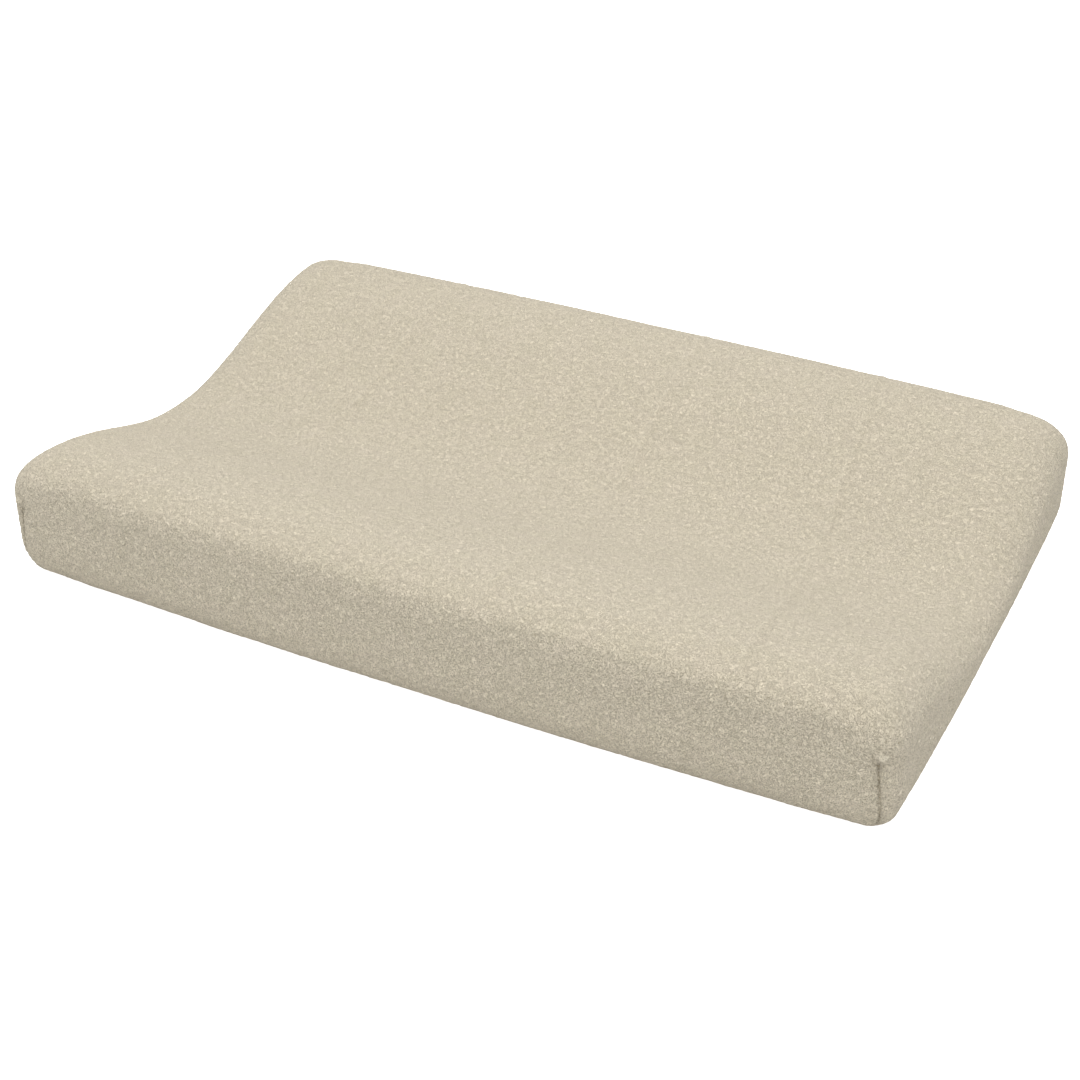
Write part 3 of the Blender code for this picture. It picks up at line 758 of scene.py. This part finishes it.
def add_corner_seams(material):
    """The overlocked edge of each corner dart: a strip of cloth wrapped by a coil of thread."""
    for word_y in ("front", "rear"):
        for word_x in ("left", "right"):
            node = f"cover_seam_{word_y}_{word_x}"
            low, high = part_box(node)
            centre = (low + high) / 2
            steps = 260
            turn = np.linspace(0, 2 * pi * OVERLOCK_TURNS, steps)
            radius = OVERLOCK_RADIUS
            height = np.linspace(low.z + radius, high.z - radius, steps)
            path = np.stack([centre.x + radius * np.cos(turn), centre.y + radius * np.sin(turn), height], 1)
            add_tube(f"overlock_thread_{word_y}_{word_x}", path, 0.3 * MM, material, sides=6)
            core = np.stack([np.full(9, centre.x), np.full(9, centre.y), np.linspace(low.z, high.z, 9)], 1)
            add_tube(f"dart_edge_{word_y}_{word_x}", core, 0.75 * MM, material, node)


def add_elastic(material):
    """The flat band in the casing, rippled where it draws the margin together."""
    grid = Grid(4 * MM)
    low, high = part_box("cover_elastic")
    middle = (low.z + high.z) / 2
    rings = []
    for inset_mm, rise in ELASTIC_PROFILE:
        ring = level_rings(grid, [(inset_mm, 0)])[0]
        ripple = ELASTIC_RIPPLE * np.sin(2 * pi * np.arange(len(ring)) / 4)
        ring[:, 2] = middle + rise * MM + ripple
        rings.append(ring)
    points, faces = loft(np.stack(rings, 1), True)
    band = new_piece("elastic_band", points, faces, material, "pad")
    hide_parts("cover_elastic")


def add_label(material, thread):
    """A small blank label, held to the hem by a row of stitches."""
    low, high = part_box("care_label")
    add_sheet("blank_label", low, high, material, "care_label", 0.25 * MM, 2 * MM)
    for i in range(7):
        y = low.y + (i + 0.75) * (high.y - low.y) / 7.5
        place = (low.x + 2.5 * MM, y, low.z)
        add_stitch(f"label_stitch_{i}", place, 0.9 * MM, 0, 0.25 * MM, thread)


def add_liner_skin(material):
    """The wipe-clean liner's top and sides, in one piece."""
    grid = Grid(8 * MM)
    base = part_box("liner_top")[0].z
    rings = level_rings(grid, [(15.2, base / MM + 0.6), (15.2, base / MM)])
    rings += wall_rings(grid, LINER_DEPTH, base, CORNER_RADIUS - LINER_DEPTH)
    points, faces = build_skin(grid, rings, LINER_DEPTH)
    points[:, 2] += 0.25 * MM * lattice_noise(points, 60 * MM, 51)
    top = new_piece("liner_skin", points, faces, material, "pad")
    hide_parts("liner_top")


def add_piping(material):
    """The piping round the liner's bottom edge, between its top and its bottom panels."""
    low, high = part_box("liner_welt")
    middle = (low.z + high.z) / 2
    ring = level_rings(Grid(4 * MM), [(PIPING_INSET_MM, middle / MM)])[0]
    add_tube("liner_piping", ring, PIPING_RADIUS, material, "liner_welt", 10, True)


def panel_columns():
    """Places along the pad for the bottom panels' points, and the panels' outer edge at each place."""
    window_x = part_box("zip_tape_front")[1].x + 3 * MM
    x_edge, y_edge = outline(Grid(4 * MM), PANEL_INSET, PANEL_INSET, PANEL_RADIUS)
    front = y_edge < -1 * MM
    order = np.argsort(x_edge[front])
    edge_x, edge_y = x_edge[front][order], -y_edge[front][order]
    columns = np.linspace(edge_x[0] + 0.1 * MM, edge_x[-1] - 0.1 * MM, 120)
    beside_window = [-window_x - 0.1 * MM, -window_x, window_x, window_x + 0.1 * MM]
    columns = np.sort(np.concatenate([columns, beside_window]))
    far = np.interp(columns, edge_x, edge_y)
    near = np.where(np.abs(columns) <= window_x, WINDOW_HALF_WIDTH, 0.4 * MM)
    return columns, near, far


def add_bottom_panels(material):
    """The liner's two bottom panels, with the zip's window between them."""
    columns, near, far = panel_columns()
    share = np.linspace(0, 1, PANEL_ROWS)[:, None]
    for word, side in (("front", -1), ("rear", 1)):
        low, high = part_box(f"liner_bottom_{word}")
        x = np.broadcast_to(columns, (PANEL_ROWS, len(columns)))
        y = side * (near + (far - near) * share)
        sag = 0.3 * MM * lattice_noise(np.stack([x.ravel(), y.ravel()], 1), 50 * MM, 52).reshape(x.shape)
        sections = [np.stack([x, y, low.z + sag], 2), np.stack([x, y, high.z + sag], 2)]
        points, faces = close_sheets(*(sections if side > 0 else sections[::-1]))
        panel = new_piece(f"liner_panel_{word}", points, faces, material, "pad")
        panel.data.set_sharp_from_angle(angle=radians(40))
        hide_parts(f"liner_bottom_{word}")


def add_foam(material):
    """One block of foam, cut to the pad's contour."""
    grid = Grid(10 * MM)
    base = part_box("foam_core")[0].z + FOAM_LIFT
    rings = wall_rings(grid, FOAM_DEPTH, base, CORNER_RADIUS - FOAM_DEPTH)
    points, faces = build_skin(grid, rings, FOAM_DEPTH, base)
    core = new_piece("foam_block", points, faces, material, "pad")
    core.data.set_sharp_from_angle(angle=radians(50))
    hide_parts("foam_core")


def add_zip_halves(woven, nylon):
    """The two woven tapes and their rows of coiled teeth."""
    for word in ("front", "rear"):
        low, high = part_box(f"zip_tape_{word}")
        add_sheet(f"woven_tape_{word}", low, high, woven, f"zip_tape_{word}")
        low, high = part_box(f"zip_coil_{word}")
        centre = (low + high) / 2
        reach = (high - low) / 2
        turns = int((high.x - low.x) / COIL_PITCH)
        turn = np.linspace(0, 2 * pi * turns, turns * 10)
        wire = COIL_WIRE
        x = np.linspace(low.x + wire, high.x - wire, len(turn))
        y = centre.y + (reach.y - wire) * np.cos(turn)
        z = centre.z + (reach.z - wire) * np.sin(turn)
        add_tube(f"coil_teeth_{word}", np.stack([x, y, z], 1), wire, nylon,
                 f"zip_coil_{word}", sides=5)


def add_end_tabs(coated, thread):
    """The cloth tabs over the zip's two ends, each held by two rows of stitches."""
    for word in ("left", "right"):
        low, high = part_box(f"zip_garage_{word}")
        add_sheet(f"end_tab_{word}", low, high, coated, f"zip_garage_{word}", 0.0, 2 * MM)
        for i in range(9):
            y = low.y + (i + 0.75) * (high.y - low.y) / 9.5
            for k, x in enumerate((low.x + 2.5 * MM, high.x - 2.5 * MM)):
                name = f"tab_stitch_{word}_{k}_{i}"
                add_stitch(name, (x, y, low.z), 1.0 * MM, 0.05 * MM, 0.2 * MM, thread)


def look_of_metal(material):
    """Gives the zip's metal pieces, which keep their CAD shapes, a nickel surface."""
    for name in ("zip_slider", "zip_pull", "zip_bottom_stop", "zip_top_stop_front", "zip_top_stop_rear"):
        node = bpy.data.objects[name]
        node.data.materials.clear()
        node.data.materials.append(material)


# ---------------------------------------------------------------- stage

def add_floor():
    material, tree, shader = new_material("floor_pale")
    shader.inputs["Base Color"].default_value = FLOOR_SHADE
    shader.inputs["Roughness"].default_value = 0.8
    shader.inputs["Emission Color"].default_value = (1, 1, 1, 1)
    ray = add_node(tree, "ShaderNodeLightPath")
    glow = add_node(tree, "ShaderNodeMath", operation="MULTIPLY_ADD")
    glow.inputs[1].default_value = FLOOR_GLOW_TO_CAMERA
    glow.inputs[2].default_value = FLOOR_GLOW
    link(tree, ray.outputs["Is Camera Ray"], glow.inputs[0])
    link(tree, glow.outputs["Value"], shader.inputs["Emission Strength"])
    mesh = bpy.data.meshes.new("floor")
    bm = bmesh.new()
    bmesh.ops.create_grid(bm, x_segments=1, y_segments=1, size=12)
    bm.to_mesh(mesh)
    bm.free()
    mesh.materials.append(material)
    floor = bpy.data.objects.new("floor", mesh)
    floor.location.z = -0.2 * MM
    bpy.context.scene.collection.objects.link(floor)


def add_lights():
    world = bpy.data.worlds.new("studio")
    world.use_nodes = True
    world.node_tree.nodes["Background"].inputs["Color"].default_value = (1, 1, 1, 1)
    world.node_tree.nodes["Background"].inputs["Strength"].default_value = SKY_STRENGTH
    bpy.context.scene.world = world
    panel = bpy.data.lights.new("overhead", "AREA")
    panel.shape = "RECTANGLE"
    panel.size = LAMP_SIZE
    panel.size_y = LAMP_SIZE
    panel.energy = LAMP_WATTS
    lamp = bpy.data.objects.new("overhead", panel)
    lamp.location = LAMP_PLACE
    lamp.rotation_mode = "QUATERNION"
    lamp.rotation_quaternion = (Vector(lamp.location) * -1).to_track_quat("-Z", "Y")
    bpy.context.scene.collection.objects.link(lamp)


def add_camera():
    level = cos(CAMERA_ELEVATION)
    back = Vector((sin(CAMERA_AZIMUTH) * level, -cos(CAMERA_AZIMUTH) * level, sin(CAMERA_ELEVATION)))
    right = Vector((0, 0, 1)).cross(back).normalized()
    up = back.cross(right)
    data = bpy.data.cameras.new("camera")
    data.lens = CAMERA_LENS
    data.sensor_width = 36
    camera = bpy.data.objects.new("camera", data)
    camera.location = back * CAMERA_DISTANCE - right * CAMERA_LEFT + up * CAMERA_UP
    camera.rotation_mode = "QUATERNION"
    camera.rotation_quaternion = (-back).to_track_quat("-Z", "Y")
    bpy.context.scene.collection.objects.link(camera)
    bpy.context.scene.camera = camera


def build():
    terry = terry_material()
    thread = fabric_material("thread_sand", (0.46, 0.41, 0.33), 0.9, 900, "GRAIN")
    coated = fabric_material("coated_white", (0.86, 0.86, 0.84), 0.45, 500, "GRAIN", 0.1 * MM, 0.0)
    foam = fabric_material("foam_cream", (0.90, 0.85, 0.68), 0.95, 600, "PORES", 0.6 * MM)
    band = fabric_material("elastic_white", (0.82, 0.81, 0.78), 0.85, 250)
    woven = fabric_material("woven_white", (0.84, 0.84, 0.82), 0.8, 500)
    nylon = fabric_material("nylon_white", (0.88, 0.88, 0.86), 0.35, 400, "GRAIN", 0.05 * MM, 0.0)
    metal = fabric_material("nickel", (0.66, 0.65, 0.63), 0.3, 900, "BRUSHED", 0.05 * MM, 0.0, 1.0)
    add_terry_cover(terry)
    add_cover_lining(terry)
    add_corner_seams(thread)
    add_elastic(band)
    add_label(woven, thread)
    add_liner_skin(coated)
    add_piping(coated)
    add_bottom_panels(coated)
    add_foam(foam)
    add_zip_halves(woven, nylon)
    add_end_tabs(coated, thread)
    look_of_metal(metal)
    add_floor()
    add_lights()
    add_camera()
    view = bpy.context.scene.view_settings
    view.view_transform = "Standard"
    view.look = "None"


build()
